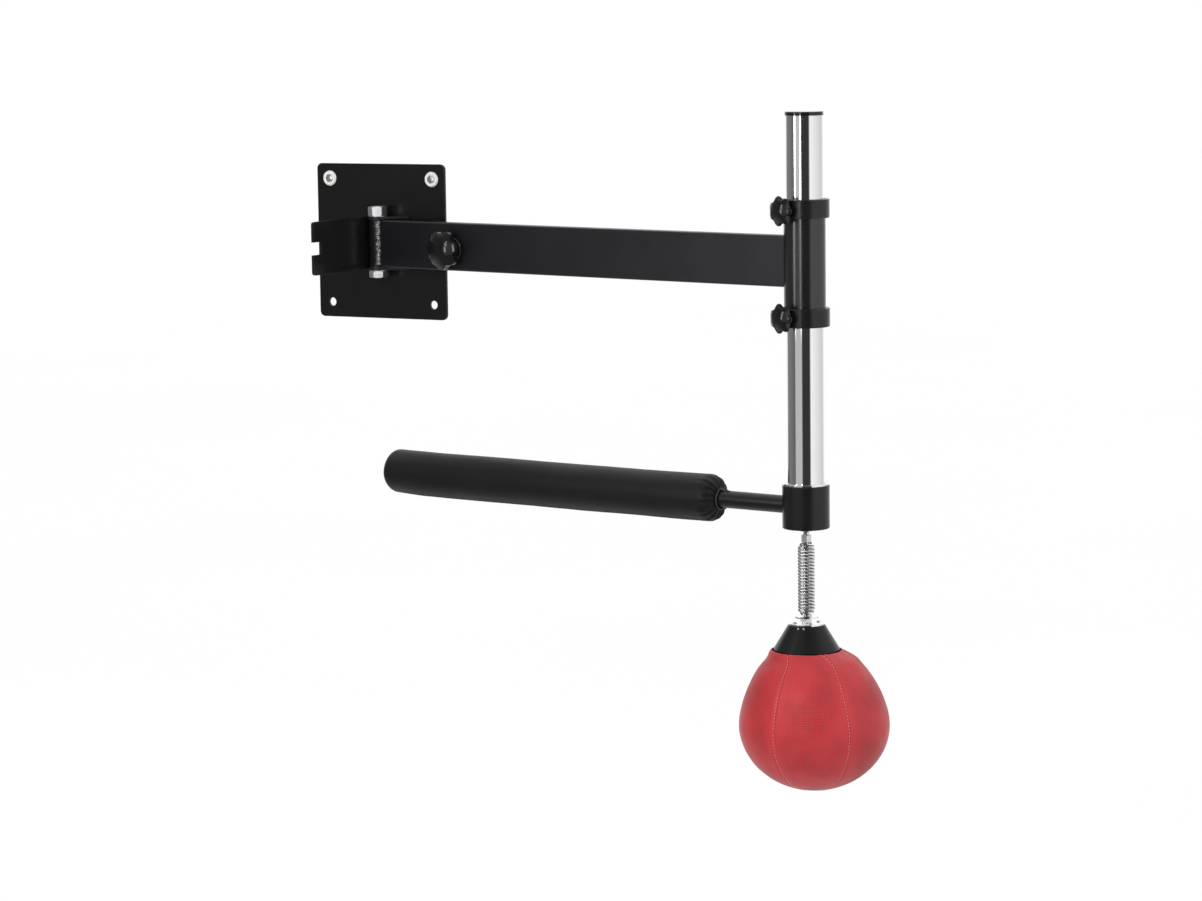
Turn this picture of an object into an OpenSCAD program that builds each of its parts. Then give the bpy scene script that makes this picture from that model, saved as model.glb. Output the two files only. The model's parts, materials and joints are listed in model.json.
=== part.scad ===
// Wall-mounted striking trainer: a folding arm carries a height-adjustable pole, a spinning
// padded bar and a spring-hung speed ball. Millimetres, +Z up, the wall is the plane y = 0.

/* [Wall mount] */
// Width of the wall plate
plate_w = 220; // [200:1:240]
// Height of the wall plate
plate_h = 228; // [210:1:250]
// Thickness of the wall plate
plate_t = 4; // [3:0.5:6]
// Diameter of the four wall holes
wall_hole_d = 12.5; // [11:0.5:18]
// Length of the stop wing, measured from the wall
wing_reach = 178; // [170:1:195]

/* [Arm] */
// Angle between the folded arm and the wall
arm_angle = 10; // [8:0.5:14]
// Hinge axis to pole axis
arm_len = 764; // [650:1:850]
// Height of the arm's box section
arm_h = 69; // [56:1:70]
// Thickness of the arm's box section
arm_w = 20; // [18:1:22]

/* [Pole and collars] */
// Outside diameter of the chrome pole
pole_d = 51; // [48:0.5:51.5]
// Height of the pole's top above the arm's middle
pole_top = 193.1; // [150:0.1:240]
// Height of each clamp collar
collar_h = 25; // [20:0.5:30]

/* [Spinning bar] */
// Angle between the bar and the wall's plane
bar_angle = 6.6; // [-20:0.1:20]
// Height of the bar below the arm's middle
bar_drop = 329.8; // [320:0.1:335]
// Pole axis to the near end of the padded roll
roll_near = 136; // [120:1:160]
// Pole axis to the far end of the padded roll
roll_far = 708; // [600:1:760]
// Outside diameter of the padded roll
roll_d = 66; // [60:1:70]

/* [Ball] */
// Largest diameter of the speed ball
ball_d = 205; // [190:1:215]
// Depth of the ball's widest ring below the arm's middle
ball_drop = 628; // [620:1:640]

/* [Hidden] */
$fn = 96;
over = 1;           // how far a cutting tool runs past the face it cuts
run_gap = 0.05;     // radial clearance of a turning or sliding fit
weld_gap = 0.01;    // root gap between two tubes that are welded together
rest_gap = 0.1;     // gap between pieces that pass close by each other
pole_r = pole_d / 2;

// Wall mount
plate_corner_r = 8;
hole_inset = 22;
hole_x = plate_w / 2 - hole_inset;
hole_z = plate_h / 2 - hole_inset;
cup_r = 11.2;
cup_h = 3;
screw_head_r = 6.2;
screw_shank_r = 4;
hinge_x = 8;
hinge_y = -26.5;
hinge_z = -1.2;      // the hinge and the arm sit this far off the plate's middle
bolt_r = 8;
barrel_r = 13;
barrel_half = arm_h / 2 + 0.2;
ear_in = barrel_half + 1;
ear_t = 3.5;
ear_out = ear_in + ear_t;
ear_r = 16;
flange_t = 4;
wing_t = 4;
wing_x = hinge_x - 13.5;
wing_half_h = 38.5;
wing_corner_r = 5;
notch_half = 9.2;
notch_depth = 20;
washer_t = 1.2;
hex_af = 24;
nut_h = 13.5;
head_h = 10;
hinge_washer_r = 13.2;
thrust_washer_r = 12.5;
bracket_right = 50;
ear_web_angle = 40;
ear_web_y = 9;

knob_dome = 38;     // slope at the rim of a knob's domed face
hex_turn = 28;      // how far the hinge bolt and nut happen to be turned

// Arm and its lock knob
arm_wall = 2;
arm_edge_r = 3;
arm_start = 7;
arm_inner_edge_r = 1.5;
arm_nut_af = 13;
arm_nut_h = 6.5;
lock_x = 150;
lock_z = -5 - hinge_z;
lock_stud_r = 4;
lock_washer_r = 18.5;
lock_washer_t = 1.6;
lock_knob_r = 28.5;
lock_knob_h = 30;
weld_r = 3.2;
weld_x = 8.3;

// Sleeve, collars and their clamp knobs
sleeve_r = 28;
sleeve_bore_r = 25.9;
collar_r = 33.4;
collar_top = 82.5;
collar_low = -87.5;
guide_h = 7.5;
clamp_angle = 10;   // the clamp knobs point this much past the arm's front face
clamp_z = [68, -74.5];
clamp_stud_r = 4;
clamp_pad_r = 3.4;
clamp_knob_r = 20.5;
clamp_knob_h = 18;
clamp_knob_from = 35.3;

// Pole, axle and hub
tube_wall = 2;
cap_h = 5;
cap_lip = 0.3;
cap_depth = 12;
hub_r = 31.9;
hub_top = -300.6;
hub_low = -359.2;
hub_step_r = 20.5;
axle_r = 12.5;
bearing_h = 12;
bearing_r = 23.5;
bearing_top = [-304, -339.5];
bearing_pitch_r = 17.75;
race_in_r = 16.2;
race_out_r = 19.3;
bearing_ball_r = 3.3;
groove_r = 3.4;
balls_per_race = 10;
spacer_r = 15.2;
axle_nut_af = 30;
axle_nut_h = 6;
axle_thread_r = 10;
axle_top = -250;
axle_neck = -363;
axle_tip = -389;
tube_low = -300;

// Bar and roll
rod_r = 12;
rod_end = roll_far - 24;
plug_depth = 12;
plug_head_h = 3;
roll_r = roll_d / 2;
cover_t = 2;
mouth_r = 13.5;
roll_near_bend = roll_r - mouth_r - 0.5;
roll_far_bend = 15;
cord_r = 1.5;
foam_inset = 5;
foam_bevel = roll_near_bend - 4;

// Spring
wire_r = 1.55;
coil_r = 9.5;
coil_end_r = 6.6;
coil_turns = 22;
coil_steps = 18;    // straight pieces in one turn
wire_sides = 6;
coil_top = -379.9;
coil_low = -478;
coil_pitch = (coil_top - coil_low) / coil_turns;
spring_nut_top = -369;
spring_nut_h = 9.3;
spring_nut_af = 13;
spring_stud_r = 4;
lower_nut_h = 7.2;
spring_washer_r = 16.8;
spring_washer_t = 1.6;

// Ball
ball_r = ball_d / 2;
ball_low_h = 90;    // widest ring down to the ball's bottom
ball_peak_h = 119;  // widest ring up to where the teardrop would close
teardrop_power = 1.63;
ball_open_z = -524.5;
ball_skin = 2.5;
cone_top = -490.5;
cone_top_r = 24.5;
cone_low_r = 45;
cone_wall = 5;
cone_roof = 8;
cone_roof_r = 19;
cone_nut_h = 6.5;
disc_r = 24.6;
disc_t = 2;
disc_screw_r = 1.5;
disc_screw_len = 7;
disc_screw_at = 17;
disc_screw_head_r = 3;
disc_screw_head_h = 1.4;
rivet_head_r = 1.7;
rivet_r = 1;
rivet_len = 4;
rivet_drop = 2.9;   // below the cone's top edge
rivet_angle = -82.4;
rivet_step = 8;
cone_slope = atan((cone_low_r - cone_top_r) / (cone_top - ball_open_z));
ball_nut_low = cone_top + disc_t + 0.1;
ball_washer_low = ball_nut_low + lower_nut_h;
ball_stud_low = -510;
ball_stud_top = -469;

pole_x = hinge_x + arm_len * cos(arm_angle);
pole_y = hinge_y - arm_len * sin(arm_angle);

// Places: each one draws its children in the local frame of one part of the trainer.
module on_wall(x, z) {
    translate([x, 0, z])
        rotate([90, 0, 0])
            children();
}

module at_hinge() {
    translate([hinge_x, hinge_y, hinge_z])
        children();
}

module in_arm() {
    at_hinge()
        rotate([0, 0, -arm_angle])
            children();
}

module at_pole() {
    translate([pole_x, pole_y, 0])
        children();
}

// Local z runs out of the arm's front face, from the arm's middle plane.
module at_lock() {
    in_arm()
        translate([lock_x, 0, lock_z])
            rotate([90, 0, 0])
                children();
}

// Local z runs radially out of the pole, along a clamp screw.
module at_clamp(i) {
    at_pole()
        rotate([0, 0, -arm_angle - clamp_angle])
            translate([0, 0, clamp_z[i]])
                rotate([90, 0, 0])
                    children();
}

// Local z runs along the bar, away from the pole.
module along_bar() {
    at_pole()
        translate([0, 0, -bar_drop])
            rotate([0, 0, -bar_angle])
                rotate([0, -90, 0])
                    children();
}

// Repeated shapes
module ring(r_out, r_in, h) {
    difference() {
        cylinder(r = r_out, h = h);
        translate([0, 0, -over])
            cylinder(r = r_in, h = h + 2 * over);
    }
}

module rounded_2d(w, h, r) {
    square([w - 2 * r, h], center = true);
    square([w, h - 2 * r], center = true);
    for (sx = [-1, 1], sy = [-1, 1])
        translate([sx * (w / 2 - r), sy * (h / 2 - r)])
            circle(r = r);
}

// A hexagon prism whose corners are turned off by a shallow cone at both ends.
module hex_prism(af, h) {
    corner_r = af / 2 / cos(30);
    cut = corner_r - af / 2;
    intersection() {
        cylinder(r = corner_r, h = h, $fn = 6);
        rotate_extrude()
            polygon([
                [0, 0], [af / 2, 0], [corner_r, cut / 2], [corner_r, h - cut / 2],
                [af / 2, h], [0, h]
            ]);
    }
}

module hex_nut(af, h, bore_r) {
    difference() {
        hex_prism(af, h);
        translate([0, 0, -over])
            cylinder(r = bore_r, h = h + 2 * over);
    }
}

function polar(r, a) = [r * cos(a), r * sin(a)];

// Star knob outline: round lobes joined by tangent scallops, each arc a run of short sides.
function arc(c, r, from, to, steps) =
    [for (j = [0 : steps]) c + polar(r, from + (to - from) * j / steps)];

// lobe and dip are the lobes' radius and the dips' distance, as shares of r.
module star_2d(r, lobes, lobe, dip) {
    lobe_r = lobe * r;
    lobe_at = r - lobe_r;
    dip_at = dip * r;
    half = 180 / lobes;
    reach = polar(dip_at, half) - [lobe_at, 0];
    dip_r = norm(reach) - lobe_r;
    turn = atan2(reach[1], reach[0]);
    polygon([
        for (k = [0 : lobes - 1])
            let (mid = 2 * k * half, low = mid + half + 180, sweep = turn - half)
                each concat(
                    arc(polar(lobe_at, mid), lobe_r, mid - turn, mid + turn, 10),
                    arc(polar(dip_at, mid + half), dip_r, low + 0.75 * sweep, low - 0.75 * sweep, 6)
                )
    ]);
}

// A star knob with a waisted hub; local z = 0 is the hub's seat and h is the top of its domed face.
module star_knob(r, h, hub_r, hub_h, bore_r, bore_h, lobe, dip) {
    edge = 0.08 * r;
    dome_r = (r - edge) / sin(knob_dome);
    rise = dome_r * (1 - cos(knob_dome));
    difference() {
        union() {
            intersection() {
                translate([0, 0, hub_h])
                    linear_extrude(height = h - hub_h)
                        star_2d(r, 7, lobe, dip);
                rotate_extrude()
                    polygon(concat(
                        [
                            [0, 0], [r - 3 * edge, hub_h], [r + 0.4, hub_h + 2 * edge],
                            [r + 0.4, h - rise - edge]
                        ],
                        [for (a = [knob_dome : -knob_dome / 9 : 0.1])
                            [dome_r * sin(a), h - dome_r * (1 - cos(a))]],
                        [[0, h]]
                    ));
            }
            cylinder(r = hub_r, h = hub_h + over);
        }
        translate([0, 0, -over])
            cylinder(r = bore_r, h = bore_h + over);
    }
}

// Wall mount
module wall_plate() {
    color("dimgray")
        rotate([90, 0, 0])
            difference() {
                linear_extrude(height = plate_t)
                    rounded_2d(plate_w, plate_h, plate_corner_r);
                for (sx = [-1, 1], sz = [-1, 1])
                    translate([sx * hole_x, sz * hole_z, -over])
                        cylinder(d = wall_hole_d, h = plate_t + 2 * over);
            }
}

module wall_cup_washers() {
    rim = 0.6;
    color("silver")
        for (sx = [-1, 1])
            on_wall(sx * hole_x, hole_z)
                translate([0, 0, plate_t])
                    rotate_extrude()
                        polygon([
                            [screw_shank_r + 0.4, 0], [cup_r, 0], [cup_r, rim],
                            [cup_r - 1.6, cup_h], [screw_head_r + 1.2, cup_h],
                            [screw_head_r, cup_h - 0.8], [screw_shank_r + 0.4, rim]
                        ]);
}

module wall_screws() {
    seat_z = plate_t + 0.6;
    head_z = plate_t + cup_h - 0.8;
    color("lightgray")
        for (sx = [-1, 1])
            on_wall(sx * hole_x, hole_z)
                difference() {
                    rotate_extrude()
                        polygon([
                            [0, 0], [screw_shank_r, 0], [screw_shank_r, seat_z],
                            [screw_head_r, head_z], [screw_head_r - 0.8, head_z + 0.9],
                            [2.6, head_z + 1.5], [0, head_z + 1.6]
                        ]);
                    translate([0, 0, head_z - 1.5])
                        cylinder(r = 2.1, h = 4, $fn = 6);
                }
}

// The bracket is one plate folded into a U, with two ears around the hinge bolt.
module hinge_bracket() {
    left = wing_x;
    right = bracket_right;
    flange_y = -plate_t - flange_t;
    web = [hinge_x + ear_r * cos(ear_web_angle), hinge_y - ear_r * sin(ear_web_angle)];
    color("gray") translate([0, 0, hinge_z])
        difference() {
            union() {
                translate([left, flange_y, -ear_out])
                    cube([right - left, flange_t, 2 * ear_out]);
                for (z = [ear_in, -ear_out])
                    translate([0, 0, z])
                        linear_extrude(height = ear_t)
                            intersection() {
                                union() {
                                    translate([hinge_x, hinge_y])
                                        circle(r = ear_r);
                                    polygon([
                                        [left, -plate_t], [right, -plate_t], [right, flange_y],
                                        web, [left, hinge_y - ear_web_y]
                                    ]);
                                }
                                translate([left, hinge_y - 2 * ear_r])
                                    square([right - left, -hinge_y + 2 * ear_r - plate_t]);
                            }
            }
            translate([hinge_x, hinge_y, -ear_out - over])
                cylinder(r = bolt_r + run_gap, h = 2 * (ear_out + over));
        }
}

// The arm stands beside this wing when it is swung out, and the lock stud enters the notch.
module stop_wing() {
    length = wing_reach - plate_t;
    color("darkslategray")
        translate([wing_x - wing_t, -plate_t, 0])
            rotate([90, 0, 90])
                linear_extrude(height = wing_t)
                    difference() {
                        union() {
                            translate([-length, wing_corner_r - wing_half_h])
                                square([length, 2 * (wing_half_h - wing_corner_r)]);
                            translate([wing_corner_r - length, -wing_half_h])
                                square([length - wing_corner_r, 2 * wing_half_h]);
                            for (s = [-1, 1])
                                translate([wing_corner_r - length, s * (wing_half_h - wing_corner_r)])
                                    circle(r = wing_corner_r);
                        }
                        translate([-length - over, -notch_half])
                            square([notch_depth + over, 2 * notch_half]);
                    }
}

module hinge_bolt() {
    low = ear_out + washer_t;
    thread_end = ear_out + washer_t + nut_h - 1.5;
    color("lightgray")
        at_hinge() {
            translate([0, 0, -low])
                cylinder(r = bolt_r, h = low + thread_end - 1);
            translate([0, 0, thread_end - 1])
                cylinder(r1 = bolt_r, r2 = bolt_r - 1, h = 1);
            translate([0, 0, -low - head_h])
                rotate([0, 0, hex_turn])
                    hex_prism(hex_af, head_h);
        }
}

module hinge_nut() {
    color("lightgray")
        at_hinge()
            translate([0, 0, ear_out + washer_t])
                rotate([0, 0, hex_turn])
                    hex_nut(hex_af, nut_h, bolt_r);
}

module hinge_washers() {
    color("lightgray")
        at_hinge()
            for (z = [ear_out, -ear_out - washer_t])
                translate([0, 0, z])
                    ring(hinge_washer_r, bolt_r + run_gap, washer_t);
}

module thrust_washers() {
    h = ear_in - barrel_half - rest_gap;
    color("ivory")
        at_hinge()
            for (z = [ear_in - h, -ear_in])
                translate([0, 0, z])
                    ring(thrust_washer_r, bolt_r + run_gap, h);
}

// Arm
module hinge_barrel() {
    color("slategray")
        at_hinge()
            translate([0, 0, -barrel_half])
                ring(barrel_r, bolt_r + run_gap, 2 * barrel_half);
}

module arm_box(w, h, r, from, to) {
    translate([from, 0, 0])
        rotate([90, 0, 90])
            linear_extrude(height = to - from)
                rounded_2d(w, h, r);
}

module hinge_welds() {
    half = arm_h / 2;
    color("gainsboro")
        in_arm()
            for (s = [-1, 1])
                difference() {
                    translate([weld_x, s * (arm_w / 2 + 0.2), -half])
                        cylinder(r = weld_r, h = 2 * half);
                    translate([0, 0, -half - over])
                        cylinder(r = barrel_r, h = 2 * (half + over));
                    arm_box(arm_w, 2 * half + 2 * over, 0.1, arm_start - over, 2 * barrel_r);
                }
}

module arm_tube() {
    color("midnightblue")
        in_arm()
            difference() {
                arm_box(arm_w, arm_h, arm_edge_r, arm_start, arm_len);
                arm_box(
                    arm_w - 2 * arm_wall, arm_h - 2 * arm_wall, arm_inner_edge_r,
                    arm_start - over, arm_len + over
                );
                translate([0, 0, -arm_h])
                    cylinder(r = barrel_r, h = 2 * arm_h);
                translate([arm_len, 0, -arm_h])
                    cylinder(r = sleeve_r + weld_gap, h = 2 * arm_h);
                translate([lock_x, 0, lock_z])
                    rotate([90, 0, 0])
                        cylinder(r = lock_stud_r + 0.4, h = arm_w);
            }
}

module arm_lock_nut() {
    color("lightgray")
        at_lock()
            translate([0, 0, arm_w / 2 - arm_wall - arm_nut_h])
                hex_nut(arm_nut_af, arm_nut_h, lock_stud_r + run_gap);
}

module lock_washer() {
    color("silver")
        at_lock()
            translate([0, 0, arm_w / 2])
                ring(lock_washer_r, lock_stud_r + run_gap, lock_washer_t);
}

module lock_knob() {
    color("black")
        at_lock()
            translate([0, 0, arm_w / 2 + lock_washer_t])
                rotate([0, 0, -90])
                    star_knob(lock_knob_r, lock_knob_h, 12, 9, lock_stud_r, 20, 0.28, 1.15);
}

module lock_stud() {
    inner = -7;
    outer = arm_w / 2 + lock_washer_t + 20;
    color("lightgray")
        at_lock() {
            translate([0, 0, inner + 1])
                cylinder(r = lock_stud_r, h = outer - inner - 1);
            translate([0, 0, inner])
                cylinder(r1 = lock_stud_r - 1, r2 = lock_stud_r, h = 1);
        }
}

// Sleeve and collars
module clamp_hole(i) {
    at_clamp(i)
        translate([0, 0, pole_r - 4])
            cylinder(r = clamp_stud_r + run_gap, h = 16);
}

module height_sleeve() {
    color("dimgray")
        difference() {
            at_pole()
                translate([0, 0, collar_low + guide_h])
                    ring(sleeve_r, sleeve_bore_r, collar_top - collar_low - 2 * guide_h);
            clamp_hole(0);
            clamp_hole(1);
        }
}

module collar(low, i) {
    edge = 0.8;
    difference() {
        at_pole()
            translate([0, 0, low])
                rotate_extrude()
                    polygon([
                        [sleeve_r, 0], [collar_r - edge, 0], [collar_r, edge],
                        [collar_r, collar_h - edge], [collar_r - edge, collar_h],
                        [sleeve_r, collar_h]
                    ]);
        clamp_hole(i);
    }
}

module upper_collar() {
    color("dimgray")
        collar(collar_top - collar_h, 0);
}

module lower_collar() {
    color("dimgray")
        collar(collar_low, 1);
}

module guide_bushes() {
    color("ivory")
        at_pole()
            for (z = [collar_top - guide_h, collar_low])
                translate([0, 0, z])
                    ring(sleeve_r, pole_r + run_gap, guide_h);
}

module clamp_pad(i) {
    color("ivory")
        at_clamp(i)
            translate([0, 0, pole_r + run_gap])
                cylinder(r = clamp_pad_r, h = 2);
}

module clamp_stud(i) {
    from = pole_r + run_gap + 2;
    color("lightgray")
        at_clamp(i)
            translate([0, 0, from])
                cylinder(r = clamp_stud_r, h = clamp_knob_from + 10 - from);
}

module clamp_knob(i) {
    color("black")
        at_clamp(i)
            translate([0, 0, clamp_knob_from])
                star_knob(clamp_knob_r, clamp_knob_h, 9.5, 6, clamp_stud_r, 10, 0.2, 0.98);
}

// Pole and axle
module pole_tube() {
    color("silver")
        at_pole()
            translate([0, 0, tube_low])
                ring(pole_r, pole_r - tube_wall, pole_top - tube_low);
}

module pole_cap() {
    edge = 0.8;
    color("black")
        at_pole()
            translate([0, 0, pole_top])
                rotate_extrude()
                    polygon([
                        [0, -cap_depth], [pole_r - tube_wall, -cap_depth],
                        [pole_r - tube_wall, 0], [pole_r + cap_lip, 0],
                        [pole_r + cap_lip, cap_h - edge],
                        [pole_r + cap_lip - edge, cap_h], [0, cap_h]
                    ]);
}

module pole_axle() {
    color("lightslategray")
        at_pole()
            rotate_extrude()
                polygon([
                    [0, axle_top], [pole_r - tube_wall - 1, axle_top],
                    [pole_r - tube_wall, axle_top - 2],
                    [pole_r - tube_wall, tube_low], [pole_r - 0.1, tube_low],
                    [pole_r - 0.1, tube_low - 2.2], [spacer_r - 0.2, tube_low - 2.2],
                    [spacer_r - 0.2, bearing_top[0]], [axle_r, bearing_top[0]],
                    [axle_r, bearing_top[1] - bearing_h],
                    [axle_thread_r, bearing_top[1] - bearing_h], [axle_thread_r, axle_neck],
                    [spring_stud_r, axle_neck - 2], [spring_stud_r, axle_tip + 1],
                    [spring_stud_r - 0.8, axle_tip], [0, axle_tip]
                ]);
}

module race_groove() {
    rotate_extrude()
        translate([bearing_pitch_r, -bearing_h / 2])
            circle(r = groove_r);
}

module bearing_inner_rings() {
    color("silver")
        at_pole()
            for (z = bearing_top)
                translate([0, 0, z])
                    difference() {
                        translate([0, 0, -bearing_h])
                            ring(race_in_r, axle_r, bearing_h);
                        race_groove();
                    }
}

module bearing_outer_rings() {
    color("silver")
        at_pole()
            for (z = bearing_top)
                translate([0, 0, z])
                    difference() {
                        translate([0, 0, -bearing_h])
                            ring(bearing_r, race_out_r, bearing_h);
                        race_groove();
                    }
}

module bearing_balls() {
    color("gold")
        at_pole()
            for (z = bearing_top, k = [0 : balls_per_race - 1])
                rotate([0, 0, k * 360 / balls_per_race])
                    translate([bearing_pitch_r, 0, z - bearing_h / 2])
                        sphere(r = bearing_ball_r);
}

module bearing_spacer() {
    low = bearing_top[1];
    color("tan")
        at_pole()
            translate([0, 0, low])
                ring(spacer_r, axle_r, bearing_top[0] - bearing_h - low);
}

module axle_nut() {
    color("lightgray")
        at_pole()
            translate([0, 0, bearing_top[1] - bearing_h - axle_nut_h])
                hex_nut(axle_nut_af, axle_nut_h, axle_thread_r);
}

module spring_top_nut() {
    color("lightgray")
        at_pole()
            translate([0, 0, spring_nut_top - spring_nut_h])
                hex_nut(spring_nut_af, spring_nut_h, spring_stud_r);
}

// Hub and bar
module hub() {
    edge = 0.8;
    color("dimgray")
        at_pole()
            rotate_extrude()
                polygon([
                    [pole_r + 0.4, hub_top], [hub_r - edge, hub_top], [hub_r, hub_top - edge],
                    [hub_r, hub_low + edge], [hub_r - edge, hub_low], [bearing_r, hub_low],
                    [bearing_r, bearing_top[1]], [hub_step_r, bearing_top[1]],
                    [hub_step_r, bearing_top[0] - bearing_h],
                    [bearing_r, bearing_top[0] - bearing_h],
                    [bearing_r, hub_top - 2.4], [pole_r + 0.4, hub_top - 2.4]
                ]);
}

module hub_cover_ring() {
    h = 2.6;
    edge = 0.5;
    color("silver")
        at_pole()
            translate([0, 0, hub_top])
                rotate_extrude()
                    polygon([
                        [pole_r + 0.2, 0], [hub_r - 1, 0], [hub_r - 1, h - edge],
                        [hub_r - 1 - edge, h], [pole_r + 0.2, h]
                    ]);
}

module hub_bottom_cover() {
    color("dimgray")
        at_pole()
            translate([0, 0, hub_low])
                ring(bearing_r, 10.4, 1.4);
}

module bar_rod() {
    color("dimgray")
        difference() {
            along_bar()
                translate([0, 0, hub_r - 4])
                    ring(rod_r, rod_r - tube_wall, rod_end - hub_r + 4);
            at_pole()
                translate([0, 0, hub_low])
                    cylinder(r = hub_r, h = hub_top - hub_low);
        }
}

module bar_end_plug() {
    color("black")
        along_bar() {
            translate([0, 0, rod_end])
                cylinder(r = rod_r, h = plug_head_h);
            translate([0, 0, rod_end - plug_depth])
                cylinder(r = rod_r - tube_wall, h = plug_depth);
        }
}

module roll_foam() {
    length = rod_end - roll_near - foam_inset;
    foam_r = roll_r - cover_t - 0.3;
    color("khaki")
        along_bar()
            translate([0, 0, roll_near + foam_inset])
                rotate_extrude()
                    polygon([
                        [rod_r, 0], [foam_r - foam_bevel, 0], [foam_r, foam_bevel],
                        [foam_r, length], [rod_r, length]
                    ]);
}

// The cover's end is a rounded shoulder: a quarter circle of points around the roll's rim.
function shoulder(r_edge, z_edge, bend, dir) =
    [for (a = [0 : 15 : 90]) [r_edge - bend + bend * cos(a), z_edge + dir * bend * sin(a)]];

function reversed(list) = [for (k = [len(list) - 1 : -1 : 0]) list[k]];

module roll_cover() {
    near = roll_near + roll_near_bend;
    far = roll_far - roll_far_bend;
    inner_r = roll_r - cover_t;
    color("saddlebrown")
        along_bar()
            rotate_extrude()
                polygon(concat(
                    [[mouth_r, roll_near]],
                    reversed(shoulder(roll_r, near, roll_near_bend, -1)),
                    shoulder(roll_r, far, roll_far_bend, 1),
                    [[0, roll_far], [0, roll_far - cover_t]],
                    reversed(shoulder(inner_r, far, roll_far_bend - cover_t, 1)),
                    shoulder(inner_r, near, roll_near_bend - cover_t, -1),
                    [[mouth_r, roll_near + cover_t]]
                ));
}

module roll_draw_cord() {
    color("white")
        along_bar()
            translate([0, 0, roll_near - cord_r - rest_gap])
                rotate_extrude()
                    translate([mouth_r + cord_r, 0])
                        circle(r = cord_r);
}

// Spring: a hexagonal wire section is carried along a helix whose end turns close in.
function coil_radius(t) =
    coil_end_r + (coil_r - coil_end_r) * min(1, t / 1.5, (coil_turns - t) / 1.5);

function coil_point(t, k) =
    let (a = 360 * t, w = 360 * k / wire_sides, r = coil_radius(t) + wire_r * cos(w))
        [r * cos(a), r * sin(a), coil_top - coil_pitch * t + wire_r * sin(w)];

module coil_spring() {
    n = coil_turns * coil_steps;
    points = [for (i = [0 : n], k = [0 : wire_sides - 1]) coil_point(i / coil_steps, k)];
    last = n * wire_sides;
    sides = [
        for (i = [0 : n - 1], k = [0 : wire_sides - 1])
            let (a = i * wire_sides + k, b = i * wire_sides + (k + 1) % wire_sides)
                each [[a, b, a + wire_sides], [b, b + wire_sides, a + wire_sides]]
    ];
    ends = [
        [for (k = [wire_sides - 1 : -1 : 0]) k],
        [for (k = [0 : wire_sides - 1]) last + k]
    ];
    color("silver")
        at_pole()
            polyhedron(points = points, faces = concat(sides, ends));
}

// Ball
module spring_washer() {
    color("silver")
        at_pole()
            translate([0, 0, ball_washer_low])
                ring(spring_washer_r, spring_stud_r, spring_washer_t);
}

module spring_lower_nut() {
    color("silver")
        at_pole()
            translate([0, 0, ball_nut_low])
                hex_nut(spring_nut_af, lower_nut_h, spring_stud_r);
}

module ball_stud() {
    color("silver")
        at_pole()
            translate([0, 0, ball_stud_low])
                cylinder(r = spring_stud_r, h = ball_stud_top - ball_stud_low);
}

// Local z = 0 is the disc's top face, at the place of each of its screws.
module at_disc_screws() {
    for (k = [0 : 3])
        rotate([0, 0, 45 + 90 * k])
            translate([disc_screw_at, 0, cone_top + disc_t])
                children();
}

// Local z points straight out of the cone's side, at the place of each of its two rivets.
module at_rivets() {
    for (s = [-1, 1])
        rotate([0, 0, rivet_angle + s * rivet_step])
            translate([cone_top_r + rivet_drop * tan(cone_slope), 0, cone_top - rivet_drop])
                rotate([0, 90 - cone_slope, 0])
                    children();
}

module ball_disc() {
    color("silver")
        at_pole()
            difference() {
                translate([0, 0, cone_top])
                    ring(disc_r, spring_stud_r, disc_t);
                at_disc_screws()
                    translate([0, 0, -disc_t - over])
                        cylinder(r = disc_screw_r, h = disc_t + 2 * over);
            }
}

module disc_screws() {
    color("silver")
        at_pole()
            at_disc_screws() {
                cylinder(r1 = disc_screw_head_r, r2 = disc_screw_head_r - 1, h = disc_screw_head_h);
                translate([0, 0, -disc_screw_len])
                    cylinder(r = disc_screw_r, h = disc_screw_len);
            }
}

module ball_cone() {
    height = cone_top - ball_open_z;
    color("dimgray")
        at_pole()
            difference() {
                translate([0, 0, ball_open_z])
                    cylinder(r1 = cone_low_r, r2 = cone_top_r, h = height);
                translate([0, 0, ball_open_z - over])
                    cylinder(
                        r1 = cone_low_r - cone_wall, r2 = cone_roof_r,
                        h = height - cone_roof + over
                    );
                translate([0, 0, cone_top - cone_roof - over])
                    cylinder(r = spring_stud_r, h = cone_roof + 2 * over);
                at_disc_screws()
                    translate([0, 0, -disc_screw_len])
                        cylinder(r = disc_screw_r, h = disc_screw_len);
                at_rivets()
                    translate([0, 0, -rivet_len])
                        cylinder(r = rivet_r, h = rivet_len + over);
            }
}

module cone_rivets() {
    color("silver")
        at_pole()
            at_rivets() {
                translate([0, 0, -rivet_len])
                    cylinder(r = rivet_r, h = rivet_len + over);
                intersection() {
                    sphere(r = rivet_head_r);
                    translate([0, 0, rest_gap])
                        cylinder(r = 2 * rivet_head_r, h = 2 * rivet_head_r);
                }
            }
}

module cone_nut() {
    color("silver")
        at_pole()
            translate([0, 0, cone_top - cone_roof - cone_nut_h])
                hex_nut(spring_nut_af, cone_nut_h, spring_stud_r);
}

// Teardrop outline: half an ellipse below the widest ring, a slower curve above it.
function drop_r(z, inset) =
    let (r = ball_r - inset, d = z + ball_drop)
        d < 0
            ? r * sqrt(max(0, 1 - pow(-d / (ball_low_h - inset), 2)))
            : r * sqrt(max(0, 1 - pow(d / (ball_peak_h - inset), teardrop_power)));

function drop_profile(inset, top) =
    concat(
        [for (a = [0 : 6 : 84])
            let (z = -ball_drop - (ball_low_h - inset) * cos(a)) [drop_r(z, inset), z]],
        [for (k = [0 : 12])
            let (z = -ball_drop + (top + ball_drop) * k / 12) [drop_r(z, inset), z]]
    );

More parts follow.
